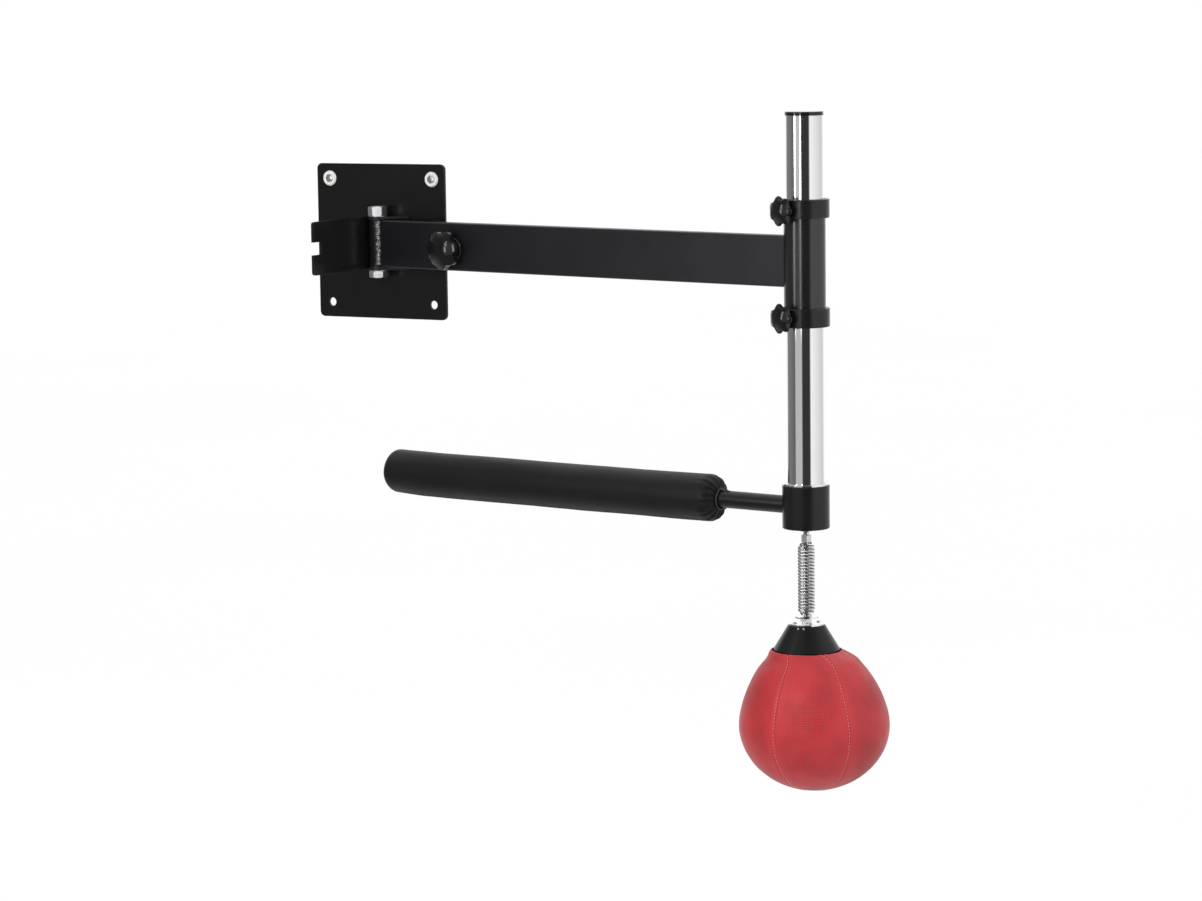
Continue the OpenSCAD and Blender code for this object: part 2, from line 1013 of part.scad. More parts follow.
module ball_cover() {
    color("firebrick")
        at_pole()
            rotate_extrude()
                polygon(concat(
                    drop_profile(0, ball_open_z - rest_gap),
                    reversed(drop_profile(ball_skin, ball_open_z - rest_gap))
                ));
}

module ball_bladder() {
    inset = ball_skin + 0.4;
    wall = 1.5;
    top = ball_open_z - 6;
    color("pink")
        at_pole()
            rotate_extrude()
                polygon(concat(
                    drop_profile(inset, top),
                    [[0, top], [0, top - wall]],
                    reversed(drop_profile(inset + wall, top - wall))
                ));
}

wall_plate();
wall_cup_washers();
wall_screws();
hinge_bracket();
stop_wing();
hinge_bolt();
hinge_nut();
hinge_washers();
thrust_washers();
hinge_barrel();
hinge_welds();
arm_tube();
arm_lock_nut();
height_sleeve();
upper_collar();
lower_collar();
guide_bushes();
lock_washer();
lock_knob();
lock_stud();
clamp_pad(0);  // upper_clamp_pad
clamp_knob(0);  // upper_clamp_knob
clamp_stud(0);  // upper_clamp_stud
clamp_pad(1);  // lower_clamp_pad
clamp_knob(1);  // lower_clamp_knob
clamp_stud(1);  // lower_clamp_stud
pole_tube();
pole_cap();
pole_axle();
bearing_inner_rings();
bearing_balls();
bearing_spacer();
axle_nut();
spring_top_nut();
hub();
hub_cover_ring();
hub_bottom_cover();
bearing_outer_rings();
bar_rod();
bar_end_plug();
roll_foam();
roll_cover();
roll_draw_cord();
coil_spring();
spring_washer();
spring_lower_nut();
ball_stud();
ball_disc();
disc_screws();
ball_cone();
cone_rivets();
cone_nut();
ball_cover();
ball_bladder();
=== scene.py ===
import json
import math

import bpy
import numpy as np
from mathutils import Matrix, Vector, noise


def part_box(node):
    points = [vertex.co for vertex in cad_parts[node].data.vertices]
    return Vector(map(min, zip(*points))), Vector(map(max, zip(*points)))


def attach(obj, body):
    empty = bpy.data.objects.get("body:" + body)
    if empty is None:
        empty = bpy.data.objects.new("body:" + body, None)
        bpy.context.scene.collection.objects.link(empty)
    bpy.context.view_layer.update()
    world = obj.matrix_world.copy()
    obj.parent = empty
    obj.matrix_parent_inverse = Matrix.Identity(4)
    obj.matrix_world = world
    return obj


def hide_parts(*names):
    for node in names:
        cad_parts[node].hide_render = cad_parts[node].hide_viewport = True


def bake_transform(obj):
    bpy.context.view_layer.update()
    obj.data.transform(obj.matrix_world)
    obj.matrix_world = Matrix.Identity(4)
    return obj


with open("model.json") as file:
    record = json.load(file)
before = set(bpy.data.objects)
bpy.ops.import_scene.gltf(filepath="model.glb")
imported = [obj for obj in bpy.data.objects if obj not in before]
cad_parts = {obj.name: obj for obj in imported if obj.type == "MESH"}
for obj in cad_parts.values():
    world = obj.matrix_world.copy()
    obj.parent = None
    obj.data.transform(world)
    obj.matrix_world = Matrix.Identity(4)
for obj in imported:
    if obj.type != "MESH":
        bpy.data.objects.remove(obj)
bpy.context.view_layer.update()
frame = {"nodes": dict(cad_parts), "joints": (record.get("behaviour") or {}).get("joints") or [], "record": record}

# Looks of a wall-mounted striking trainer round its CAD frame: finishes, leather, spring, light and camera.
# Lengths are metres, in the CAD frame. MM turns millimetres into them.
MM = 0.001
UP = Vector((0, 0, 1))

NODES = frame["nodes"]
JOINTS = {j["name"]: j for j in frame["joints"]}
HINGE = Vector(JOINTS["arm_swing"]["pos_m"])
POLE = Vector(JOINTS["bar_spin"]["pos_m"])

# Camera, from the object's centre
CAMERA_AZIMUTH = 28.501
CAMERA_ELEVATION = 7.405
CAMERA_ROLL = 0.745
CAMERA_DISTANCE = 4.898494
CAMERA_AIM = Vector((0.361732, 0.0, -0.293886))
CAMERA_LENS = 102.015

# Ball: six gores, with the seams placed by the azimuth of one of them
GORES = 6
BALL_COLUMNS = 20
BALL_ROWS = 100
SEAM_AZIMUTH = -7.8
TEARDROP_PEAK = 119 * MM
TEARDROP_POWER = 1.63
BELLY_Z = -0.628
BALL_LEAN = Vector((math.cos(math.radians(25)), math.sin(math.radians(25)), 0))
LEAN_AT_RIM = 7 * MM
LEAN_BELOW = 2.6 * MM
SKIN_INSET = 0.6 * MM
BLADDER_INSET = 4.2 * MM
GRID_PITCH = 3.1 * MM     # of the squares pressed in the leather
STITCH_PITCH = 4.6 * MM
STITCH_LENGTH = 2.9 * MM
STITCH_RADIUS = 0.42 * MM
STITCHES_FROM = 3 * MM    # along the seam from the mouth
STITCHES_END = 12 * MM    # before the bottom, where the gores meet

# Padded roll: gathered on its near end, a sewn disc on its far end
PLEATS = 19
ROLL_SLACK = 0.6 * MM     # the cover starts this much inside its CAD shape, and swells by at most 1.6 mm
ROLL_MOUTH = 14.2 * MM
GATHER = 19 * MM          # depth of the gathered dome
GATHER_START = 0.6 * MM
FAR_BEND = 15 * MM
FAR_INSET = 1.4 * MM
FACE_STEPS = 18
BODY_STEPS = 104
CAP_STEPS = 12
SEAM_ANGLE = -math.radians(118)
FAR_DROP = 3.0 * MM       # how far the underside pulls in towards the far end
FAR_LENGTH = 75 * MM
ROLL_SAG = 0.6 * MM

# Draw cord: a loop in the roll's mouth, and its flat loose end lying on the rod
CORD_R = 1.3 * MM
CORD_TURNS = 72
CORD_SIDES = 10
ROD_R = 12 * MM
TAIL_ANGLE = math.radians(76)
TAIL_LENGTH = 17 * MM
TAIL_STEPS = 14
TAIL_SIDES = 12

# Coil spring
SPRING_TURNS = 22
SPRING_END_TURNS = 1.5
SPRING_STEPS = 40         # a turn
SPRING_SIDES = 14
WIRE_R = 1.3 * MM         # a little under the CAD helix's wire, so that dark gaps show between the coils
COIL_CLOSING = 3.8 * MM   # how far the end turns draw in
COIL_SPREAD = 0.9 * MM    # the round wire's coils stand a little wider than the CAD helix

# Weld beads, from the hinge's axis
WELD_OUT = 8.3 * MM
WELD_ASIDE = 10.2 * MM
WELD_RIPPLE = 2.9 * MM
WELD_STEPS = 150
WELD_SIDES = 18


def smoothstep(x):
    x = min(1.0, max(0.0, x))
    return x * x * (3 - 2 * x)


# ---------------------------------------------------------------- procedural materials


class Finish:
    """One node-based material. Its methods add nodes and return the socket that holds the result."""

    def __init__(self, name):
        self.material = bpy.data.materials.new(name)
        self.material.use_nodes = True
        self.tree = self.material.node_tree
        self.surface = self.tree.nodes["Principled BSDF"]
        self.place = self.node("ShaderNodeTexCoord").outputs["Object"]

    def node(self, kind, inputs=None, **settings):
        made = self.tree.nodes.new(kind)
        for key, value in settings.items():
            setattr(made, key, value)
        for key, value in (inputs or {}).items():
            self.put(made.inputs[key], value)
        return made

    def put(self, socket, value):
        if isinstance(value, bpy.types.NodeSocket):
            self.tree.links.new(value, socket)
        else:
            socket.default_value = value

    def set(self, **inputs):
        for key, value in inputs.items():
            self.put(self.surface.inputs[key.replace("_", " ")], value)

    def stretched(self, x, y, z):
        made = self.node("ShaderNodeMapping", {"Vector": self.place})
        made.inputs["Scale"].default_value = (x, y, z)
        return made.outputs["Vector"]

    def noise(self, scale, detail=2.0, place=None, rough=0.5):
        made = self.node(
            "ShaderNodeTexNoise",
            {"Vector": place or self.place, "Scale": scale, "Detail": detail, "Roughness": rough},
        )
        return made.outputs["Fac"]

    def cells(self, scale, feature="F1"):
        made = self.node("ShaderNodeTexVoronoi", {"Vector": self.place, "Scale": scale}, feature=feature)
        return made.outputs["Distance"]

    def remap(self, value, low, high, to_low=0.0, to_high=1.0):
        made = self.node(
            "ShaderNodeMapRange",
            {"Value": value, "From Min": low, "From Max": high, "To Min": to_low, "To Max": to_high},
        )
        return made.outputs["Result"]

    def math(self, operation, a, b=0.0):
        made = self.node("ShaderNodeMath", operation=operation)
        self.put(made.inputs[0], a)
        self.put(made.inputs[1], b)
        return made.outputs["Value"]

    def colours(self, factor, a, b):
        made = self.node("ShaderNodeMix", data_type="RGBA")
        self.put(made.inputs["Factor"], factor)
        for key, value in (("A", a), ("B", b)):
            socket = [s for s in made.inputs if s.name == key and s.type == "RGBA"][0]
            self.put(socket, value if isinstance(value, bpy.types.NodeSocket) else (*value, 1.0))
        return [s for s in made.outputs if s.type == "RGBA"][0]

    def attribute(self, name):
        return self.node("ShaderNodeAttribute", attribute_name=name).outputs["Fac"]

    def soft_edge(self, radius):
        return self.node("ShaderNodeBevel", {"Radius": radius}, samples=4).outputs["Normal"]

    def edge_wear(self, normal):
        """0 on flats and 1 on edges, from how far the softened normal leans off the true one."""
        true = self.node("ShaderNodeNewGeometry").outputs["Normal"]
        made = self.node("ShaderNodeVectorMath", operation="DOT_PRODUCT")
        self.put(made.inputs[0], normal)
        self.put(made.inputs[1], true)
        return self.remap(made.outputs["Value"], 0.995, 0.85)

    def bump(self, height, depth, normal=None, strength=1.0):
        made = self.node(
            "ShaderNodeBump", {"Height": height, "Distance": depth, "Strength": strength}
        )
        if normal is not None:
            self.put(made.inputs["Normal"], normal)
        return made.outputs["Normal"]


def paint(name, base, rough, peel, edge=0.8 * MM, painted_wall_shade=1.0, shine=0.42):
    """Powder coat: orange peel, small specks, and a slightly paler line where the coat thins on edges.

    A ratio over 1 makes the coat that many times darker at the wall than near the pole: painted shade in place of
    the light falling off along the arm."""
    f = Finish(name)
    from_wall = f.node("ShaderNodeSeparateXYZ", {"Vector": f.place}).outputs["X"]
    softened = f.soft_edge(edge)
    worn = f.math("MULTIPLY", f.edge_wear(softened), f.remap(f.noise(160, 4), 0.35, 0.7))
    patchy = f.remap(f.noise(9, 3), 0.3, 0.7)
    specks = f.remap(f.noise(1500, 1), 0.72, 0.8)
    shade = f.colours(patchy, base, [c * 1.18 for c in base])
    # Painted shade: the base colour darkens towards the wall by the given ratio.
    shade = f.colours(f.remap(from_wall, POLE.x * 0.1, POLE.x * 0.9), [c / painted_wall_shade for c in base], shade)
    shade = f.colours(f.math("MULTIPLY", specks, 0.25), shade, (0.08, 0.08, 0.08))
    shade = f.colours(f.math("MULTIPLY", worn, 0.25), shade, (0.12, 0.12, 0.12))
    gloss = f.remap(f.noise(24, 4), 0.3, 0.7, rough * 0.85, rough * 1.15)
    f.set(Base_Color=shade, Roughness=gloss, Specular_IOR_Level=shine)
    grain = f.bump(f.noise(420, 2), peel, softened, 0.35)
    f.set(Normal=f.bump(f.noise(90, 1), peel * 3, grain, 0.15))
    return f.material


def plated(name, base, rough, streaks=(1.0, 1.0, 1.0), depth=0.02 * MM, metal=1.0):
    """Plated or ground metal: fine streaks that may run one way, blotches of duller metal, soft edges."""
    f = Finish(name)
    softened = f.soft_edge(0.5 * MM)
    fine = f.noise(900, 3, f.stretched(*streaks))
    dull = f.remap(f.noise(60, 4, rough=0.65), 0.4, 0.75)
    haze = f.remap(dull, 0, 1, rough, rough * 1.5)
    f.set(
        Base_Color=f.colours(dull, base, [c * 0.88 for c in base]),
        Metallic=metal,
        Roughness=f.math("ADD", haze, f.remap(fine, 0.3, 0.7, 0, rough * 0.3)),
        Normal=f.bump(fine, depth, softened, 0.5),
    )
    return f.material


def chrome(name):
    """Mirror chrome over a drawn tube: faint lengthwise waves, a few wipe marks and thin haze."""
    f = Finish(name)
    softened = f.soft_edge(0.6 * MM)
    haze = f.remap(f.noise(14, 5, rough=0.6), 0.5, 0.8)
    waves = f.noise(260, 2, f.stretched(1.0, 1.0, 0.03))
    wipes = f.remap(f.noise(500, 2, f.stretched(1.0, 1.0, 0.12)), 0.62, 0.8)
    f.set(
        Base_Color=f.colours(haze, (0.93, 0.93, 0.94), (0.86, 0.86, 0.88)),
        Metallic=1.0,
        Roughness=f.math("ADD", f.remap(haze, 0, 1, 0.035, 0.07), f.math("MULTIPLY", wipes, 0.05)),
        Normal=f.bump(waves, 0.02 * MM, softened, 0.35),
    )
    return f.material


def spring_wire(name):
    """Bright drawn wire, with painted shade where each coil almost touches the next: its colour darkens where the
    wire's normal points up or down.
    """
    f = Finish(name)
    normal = f.node("ShaderNodeSeparateXYZ", {"Vector": f.node("ShaderNodeNewGeometry").outputs["Normal"]})
    # Painted shade between the coils: the mask grows as the wire's normal turns up or down.
    painted_coil_shade = f.remap(f.math("ABSOLUTE", normal.outputs["Z"]), 0.45, 0.75)
    drawn = f.noise(700, 3, f.stretched(1.0, 1.0, 0.3))
    painted_coil_shade = f.math("MULTIPLY", painted_coil_shade, f.remap(drawn, 0.3, 0.6, 0.85, 1.0))
    f.set(
        Base_Color=f.colours(painted_coil_shade, (0.90, 0.90, 0.91), (0.045, 0.045, 0.048)),
        Metallic=1.0,
        Roughness=f.remap(painted_coil_shade, 0, 1, 0.12, 0.35),
        Normal=f.bump(drawn, 0.006 * MM, None, 0.4),
    )
    return f.material


def moulded(name, base, rough, edge=1.2 * MM, grain=0.05 * MM, shine=0.5):
    """Gloss moulded plastic: slight sink marks, fine scuffs and round edges."""
    f = Finish(name)
    softened = f.soft_edge(edge)
    scuffs = f.remap(f.noise(300, 5, f.stretched(1.0, 1.0, 4.0), rough=0.7), 0.58, 0.75)
    f.set(
        Base_Color=f.colours(f.remap(f.noise(30, 3), 0.3, 0.7), base, [c * 1.25 for c in base]),
        Roughness=f.math("ADD", rough, f.math("MULTIPLY", scuffs, 0.14)),
        Specular_IOR_Level=shine,
        Normal=f.bump(f.noise(120, 2), grain, softened, 0.3),
    )
    return f.material


def weld_bead(name):
    """Bare weld metal: bright and lumpy, with heat tint and small dark pits."""
    f = Finish(name)
    pits = f.remap(f.cells(420), 0.18, 0.60)
    tint = f.remap(f.noise(150, 3), 0.35, 0.7)
    shade = f.colours(tint, (0.86, 0.86, 0.86), (0.62, 0.60, 0.57))
    lumps = f.noise(420, 4, rough=0.65)
    f.set(
        Base_Color=f.colours(pits, (0.04, 0.04, 0.04), shade),
        Metallic=1.0,
        Roughness=f.remap(lumps, 0.3, 0.7, 0.3, 0.5),
        Normal=f.bump(lumps, 0.5 * MM, None, 0.7),
    )
    return f.material


def nylon(name):
    f = Finish(name)
    f.set(
        Base_Color=f.colours(f.noise(60, 3), (0.045, 0.045, 0.045), (0.06, 0.06, 0.06)),
        Roughness=f.remap(f.noise(200, 3), 0.3, 0.7, 0.42, 0.6),
        Normal=f.bump(f.noise(700, 3), 0.05 * MM, f.soft_edge(0.4 * MM), 0.4),
    )
    return f.material


def foam(name):
    f = Finish(name)
    pores = f.cells(900)
    f.set(
        Base_Color=f.colours(pores, (0.05, 0.05, 0.05), (0.13, 0.13, 0.13)),
        Roughness=0.9,
        Normal=f.bump(pores, 0.4 * MM, None, 0.8),
    )
    return f.material


def rubber(name):
    f = Finish(name)
    f.set(
        Base_Color=f.colours(f.noise(40, 3), (0.05, 0.045, 0.04), (0.08, 0.07, 0.06)),
        Roughness=0.6,
        Normal=f.bump(f.noise(500, 3), 0.05 * MM, None, 0.4),
    )
    return f.material


def cord(name):
    f = Finish(name)
    braid = f.node("ShaderNodeTexWave", {"Vector": f.place, "Scale": 420.0, "Distortion": 1.5})
    weave = braid.outputs["Fac"]
    f.set(
        Base_Color=f.colours(weave, (0.012, 0.012, 0.013), (0.05, 0.05, 0.052)),
        Roughness=0.7,
        Normal=f.bump(weave, 0.25 * MM, None, 0.8),
    )
    return f.material


def black_leather(name):
    """Matt coated cloth: a pebbled grain in three sizes and slightly glossier rubbed patches."""
    f = Finish(name)
    pebble = f.cells(900, "SMOOTH_F1")
    crease = f.cells(260, "DISTANCE_TO_EDGE")
    rubbed = f.remap(f.noise(12, 4), 0.42, 0.7)
    grain = f.bump(pebble, 0.12 * MM, None, 0.55)
    grain = f.bump(f.remap(crease, 0.0, 0.12), 0.10 * MM, grain, 0.35)
    pebbled = f.remap(pebble, 0.0, 0.6, -0.04, 0.06)
    f.set(
        Base_Color=f.colours(rubbed, (0.0060, 0.0060, 0.0066), (0.0074, 0.0074, 0.0080)),
        Roughness=f.math("ADD", f.remap(rubbed, 0, 1, 0.46, 0.42), pebbled),
        Specular_IOR_Level=0.30,
        Normal=f.bump(f.noise(45, 3), 0.8 * MM, grain, 0.12),
    )
    return f.material


def red_leather(name):
    """Coated ball leather: a small embossed square grid over a fine grain, darker along the seams.

    The grid follows two attributes on the mesh, across and along each gore, in metres."""
    f = Finish(name)
    across = f.attribute("across")
    along = f.attribute("along")
    from_seam = f.attribute("from_seam")
    def groove(position):
        wave = f.math("COSINE", f.math("MULTIPLY", position, 2 * math.pi / GRID_PITCH))
        return f.remap(wave, 0.45, 1.0)

    lines = f.math("MAXIMUM", groove(across), groove(along))
    pressed = f.remap(f.noise(16, 2), 0.40, 0.58)
    clear = f.remap(from_seam, 4 * MM, 16 * MM)
    embossed = f.math("MULTIPLY", f.math("MULTIPLY", lines, pressed), clear)
    stain = f.remap(from_seam, 0.2 * MM, 1.3 * MM)
    tone = f.remap(f.noise(11, 4), 0.3, 0.7)
    shade = f.colours(tone, (0.38, 0.023, 0.028), (0.43, 0.028, 0.034))
    # Painted shade in the pressed grid: its grooves are darkened in colour as well as sunk by the bump.
    shade = f.colours(f.math("MULTIPLY", embossed, 0.65), shade, (0.15, 0.009, 0.012))
    shade = f.colours(stain, (0.30, 0.016, 0.021), shade)
    pebble = f.cells(1400, "SMOOTH_F1")
    grain = f.bump(pebble, 0.06 * MM, None, 0.4)
    grain = f.bump(f.noise(700, 3), 0.05 * MM, grain, 0.4)
    f.set(
        Base_Color=shade,
        Roughness=f.math("ADD", f.remap(tone, 0, 1, 0.47, 0.40), f.math("MULTIPLY", embossed, 0.12)),
        Specular_IOR_Level=0.40,
        Normal=f.bump(f.math("SUBTRACT", 1.0, embossed), 0.22 * MM, grain, 0.6),
    )
    return f.material


def thread(name):
    f = Finish(name)
    twist = f.node("ShaderNodeTexWave", {"Vector": f.place, "Scale": 900.0, "Distortion": 2.0})
    strands = twist.outputs["Fac"]
    f.set(
        Base_Color=f.colours(strands, (0.62, 0.20, 0.20), (0.85, 0.42, 0.40)),
        Roughness=0.65,
        Normal=f.bump(strands, 0.08 * MM, None, 0.6),
    )
    return f.material


FINISHES = {
    "black_powder": paint("black_powder", (0.0062, 0.0062, 0.0064), 0.23, 0.030 * MM),
    "hub_powder": paint("hub_powder", (0.0052, 0.0052, 0.0054), 0.30, 0.045 * MM),
    # The arm's coat carries painted shade, darker towards the wall.
    "arm_paint": paint("arm_paint", (0.0120, 0.0120, 0.0150), 0.36, 0.045 * MM, edge=1.0 * MM, painted_wall_shade=2.2),
    "sleeve_powder": paint("sleeve_powder", (0.0066, 0.0066, 0.0072), 0.20, 0.020 * MM, shine=0.8),
    "zinc_steel": plated("zinc_steel", (0.84, 0.85, 0.87), 0.26, depth=0.008 * MM),
    "washer_nickel": plated("washer_nickel", (0.90, 0.88, 0.84), 0.34, depth=0.008 * MM, metal=0.35),
    "weld_steel": weld_bead("weld_steel"),
    "chrome": chrome("chrome"),
    "spring_wire": spring_wire("spring_wire"),
    "bearing_steel": plated("bearing_steel", (0.72, 0.73, 0.75), 0.16, (1.0, 1.0, 0.1)),
    "black_plastic": moulded("black_plastic", (0.0050, 0.0050, 0.0054), 0.09),
    "nylon": nylon("nylon"),
    "foam": foam("foam"),
    "black_leather": black_leather("black_leather"),
    "cord": cord("cord"),
    "cone_plastic": moulded("cone_plastic", (0.0045, 0.0047, 0.0047), 0.30, 0.8 * MM, 0.015 * MM, shine=0.34),
    "red_leather": red_leather("red_leather"),
    "ball_thread": thread("ball_thread"),
    "bladder_rubber": rubber("bladder_rubber"),
}
OTHER_FINISH = {
    "hub": "hub_powder", "hub_bottom_cover": "hub_powder", "bar_rod": "hub_powder",
    "wall_cup_washers": "washer_nickel", "height_sleeve": "sleeve_powder",
}


def dress_cad_nodes():
    """Every CAD node takes the finish of its slot in the record, or its own variant of it."""
    for part in frame["record"]["subparts"]:
        shape = NODES[part["node"]]
        shape.data.materials.clear()
        shape.data.materials.append(FINISHES[OTHER_FINISH.get(part["node"], part["material_slot"])])


# ---------------------------------------------------------------- mesh helpers


def new_piece(name, points, faces, finish):
    mesh = bpy.data.meshes.new(name)
    mesh.from_pydata([tuple(p) for p in points], [], faces)
    mesh.update()
    mesh.shade_smooth()
    mesh.materials.append(FINISHES[finish])
    made = bpy.data.objects.new(name, mesh)
    bpy.context.scene.collection.objects.link(made)
    return made


def loft(rings, close_start=True, close_end=True):
    """Points and faces of a skin over rings of equal length, each counter-clockwise about the path."""
    count = len(rings[0])
    points = [p for ring in rings for p in ring]
    faces = []
    for i in range(len(rings) - 1):
        for k in range(count):
            a, b = i * count + k, i * count + (k + 1) % count
            faces.append((a, b, b + count, a + count))
    if close_start:
        faces.append(tuple(range(count - 1, -1, -1)))
    if close_end:
        last = (len(rings) - 1) * count
        faces.append(tuple(range(last, last + count)))
    return points, faces


def store(piece, name, values):
    attribute = piece.data.attributes.new(name, "FLOAT", "POINT")
    attribute.data.foreach_set("value", np.array(values, np.float32))


def points_of(piece):
    flat = np.zeros(len(piece.data.vertices) * 3)
    piece.data.vertices.foreach_get("co", flat)
    return flat.reshape(-1, 3)


def inflate(piece, pinned, pressure, frames, cap):
    """Cloth simulation: the skin swells from inside, pinned where asked, and no point moves more than cap."""
    scene = bpy.context.scene
    group = piece.vertex_groups.new(name="pinned")
    for index, weight in enumerate(pinned):
        if weight > 0:
            group.add([index], weight, "REPLACE")
    before = points_of(piece)
    cloth = piece.modifiers.new("swell", "CLOTH")
    settings = cloth.settings
    settings.quality = 6
    settings.mass = 0.3
    settings.tension_stiffness = 40
    settings.compression_stiffness = 40
    settings.shear_stiffness = 20
    settings.bending_stiffness = 8
    settings.vertex_group_mass = "pinned"
    settings.use_pressure = True
    settings.uniform_pressure_force = pressure
    settings.effector_weights.gravity = 0
    cloth.collision_settings.use_collision = False
    cloth.point_cache.frame_start = 1
    cloth.point_cache.frame_end = frames
    for frame_number in range(1, frames + 1):
        scene.frame_set(frame_number)
    shaped = piece.evaluated_get(bpy.context.evaluated_depsgraph_get())
    flat = np.zeros(len(shaped.data.vertices) * 3)
    shaped.data.vertices.foreach_get("co", flat)
    moved = flat.reshape(-1, 3) - before
    length = np.linalg.norm(moved, axis=1, keepdims=True)
    moved *= np.minimum(1.0, cap / np.maximum(length, 1e-9))
    piece.modifiers.remove(cloth)
    piece.vertex_groups.remove(group)
    piece.data.vertices.foreach_set("co", (before + moved).ravel())
    piece.data.update()
    scene.frame_set(1)


def subdivided(piece, levels=1):
    """Applies Catmull-Clark subdivision, so that the mesh itself is smooth and carries its attributes."""
    piece.modifiers.new("smooth", "SUBSURF").levels = levels
    shaped = piece.evaluated_get(bpy.context.evaluated_depsgraph_get())
    mesh = bpy.data.meshes.new_from_object(shaped)
    piece.modifiers.clear()
    old = piece.data
    piece.data = mesh
    bpy.data.meshes.remove(old)
    mesh.name = piece.name
    return piece


# ---------------------------------------------------------------- ball


def teardrop(z, low, radius):
    """Outline of the ball: half an ellipse below its widest ring and a slower curve above it."""
    d = z - BELLY_Z
    if d < 0:
        return radius * math.sqrt(max(0.0, 1 - (d / (BELLY_Z - low)) ** 2))
    return radius * math.sqrt(max(0.0, 1 - (d / TEARDROP_PEAK) ** TEARDROP_POWER))


def ball_centre(z, top):
    """The ball hangs a little to one side, most at its belly."""
    below = top - z
    reach = LEAN_AT_RIM * smoothstep(below / (14 * MM)) + LEAN_BELOW * smoothstep(below / (90 * MM))
    return Vector((POLE.x, POLE.y, z)) + BALL_LEAN * reach


def outline_heights(low, top, radius, steps):
    """Heights from the opening to the bottom, evenly spaced along the outline's length."""
    fine = [top - (top - low) * (1 - math.cos(math.pi * i / 1200)) / 2 for i in range(1201)]
    length = [0.0]
    for a, b in zip(fine, fine[1:]):
        length.append(length[-1] + math.hypot(b - a, teardrop(b, low, radius) - teardrop(a, low, radius)))
    targets = np.linspace(0, length[-1], steps + 1)
    return list(zip(np.interp(targets, length, fine), targets))


def ball_skin(name, inset, columns, rows, finish):
    """A closed gored skin. Columns crowd towards the seams, where the leather dips."""
    low_corner, high_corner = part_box("ball_cover")
    radius = (high_corner.x - low_corner.x) / 2 - inset
    top, low = high_corner.z - inset, low_corner.z + inset
    heights = outline_heights(low, top, radius, rows)
    first = math.radians(SEAM_AZIMUTH - 90)
    half = math.pi / GORES
    rings, across, along, from_seam = [], [], [], []
    for row, (z, walked) in enumerate(heights[:-1]):
        r = max(teardrop(z, low, radius), 0.6 * MM)
        ring = []
        for gore in range(GORES):
            for k in range(columns):
                share = math.sin(math.pi / 2 * (2 * k / columns - 1))
                angle = first + (2 * gore + 1 + share) * half
                spoke = Vector((math.cos(angle), math.sin(angle), 0))
                ring.append(ball_centre(z, high_corner.z) + spoke * r)
                across.append(share * half * r)
                along.append(walked)
                from_seam.append((1 - abs(share)) * half * r)
        rings.append(ring[::-1])
    count = GORES * columns
    points, faces = loft(rings, close_start=False)
    across = np.array(across).reshape(-1, count)[:, ::-1].ravel()
    from_seam = np.array(from_seam).reshape(-1, count)[:, ::-1].ravel()
    made = new_piece(name, points, faces, finish)
    store(made, "across", across)
    store(made, "along", along)
    store(made, "from_seam", from_seam)
    return made


def crease_seams(piece, low, top):
    """Sinks the leather along each seam, raises the turned edge beside it and puckers it at every stitch."""
    where = points_of(piece)
    count = len(where)
    from_seam, along = np.zeros(count), np.zeros(count)
    piece.data.attributes["from_seam"].data.foreach_get("value", from_seam)
    piece.data.attributes["along"].data.foreach_get("value", along)
    normals = np.zeros(count * 3)
    piece.data.vertices.foreach_get("normal", normals)
    normals = normals.reshape(-1, 3)
    near_pole = np.clip((where[:, 2] - low) / (20 * MM), 0, 1)
    dip = -0.75 * MM * np.exp(-((from_seam / (1.2 * MM)) ** 2))
    welt = 0.30 * MM * np.exp(-(((from_seam - 4.2 * MM) / (2.2 * MM)) ** 2))
    beside = np.exp(-(((from_seam - 2.6 * MM) / (1.8 * MM)) ** 2))
    pucker = np.cos(2 * np.pi * along / STITCH_PITCH) * beside
    lift = (dip + welt + 0.16 * MM * pucker) * near_pole
    tight = np.clip((where[:, 2] - (top - 30 * MM)) / (30 * MM), 0, 1)
    waves = np.array([noise.noise(Vector(p) * 55) for p in where])
    lift += waves * (0.3 + 0.9 * tight) * MM * near_pole
    piece.data.vertices.foreach_set("co", (where + normals * lift[:, None]).ravel())
    piece.data.update()


def ball_stitches(skin):
    """One short raised thread per stitch, lying along each seam in the skin's own dip.

    Subdivision keeps a mesh's first points in order, so a seam is every row's point at one column."""
    where = points_of(skin)
    along = np.zeros(len(where))
    skin.data.attributes["along"].data.foreach_get("value", along)
    points, faces = [], []
    sides, steps = 6, 5
    count = GORES * BALL_COLUMNS
    for gore in range(GORES):
        on_seam = np.arange(BALL_ROWS) * count + count - 1 - gore * BALL_COLUMNS
        lengths, spine = along[on_seam], where[on_seam]
        stitch = lengths[0] + STITCHES_FROM
        while stitch < lengths[-1] - STITCHES_END:
            path = []
            for s in range(steps):
                share = s / (steps - 1)
                at = stitch + STITCH_LENGTH * (share - 0.5)
                spot = Vector([np.interp(at, lengths, spine[:, axis]) for axis in range(3)])
                out = (spot - Vector((POLE.x, POLE.y, BELLY_Z))).normalized()
                path.append((spot, out, math.sin(math.pi * (0.08 + 0.84 * share))))
            base = len(points)
            heading = (path[-1][0] - path[0][0]).normalized()
            for spot, out, swell in path:
                aside = heading.cross(out).normalized()
                for k in range(sides):
                    a = 2 * math.pi * k / sides
                    spoke = (aside * math.cos(a) + out * math.sin(a)) * STITCH_RADIUS * (0.45 + 0.55 * swell)
                    points.append(spot + out * STITCH_RADIUS * (1.1 * swell - 0.3) + spoke)
            for s in range(steps - 1):
                for k in range(sides):
                    a, b = base + s * sides + k, base + s * sides + (k + 1) % sides
                    faces.append((a, b, b + sides, a + sides))
            faces.append(tuple(base + k for k in range(sides - 1, -1, -1)))
            faces.append(tuple(base + (steps - 1) * sides + k for k in range(sides)))
            stitch += STITCH_PITCH
    return new_piece("ball_stitches", points, faces, "ball_thread")


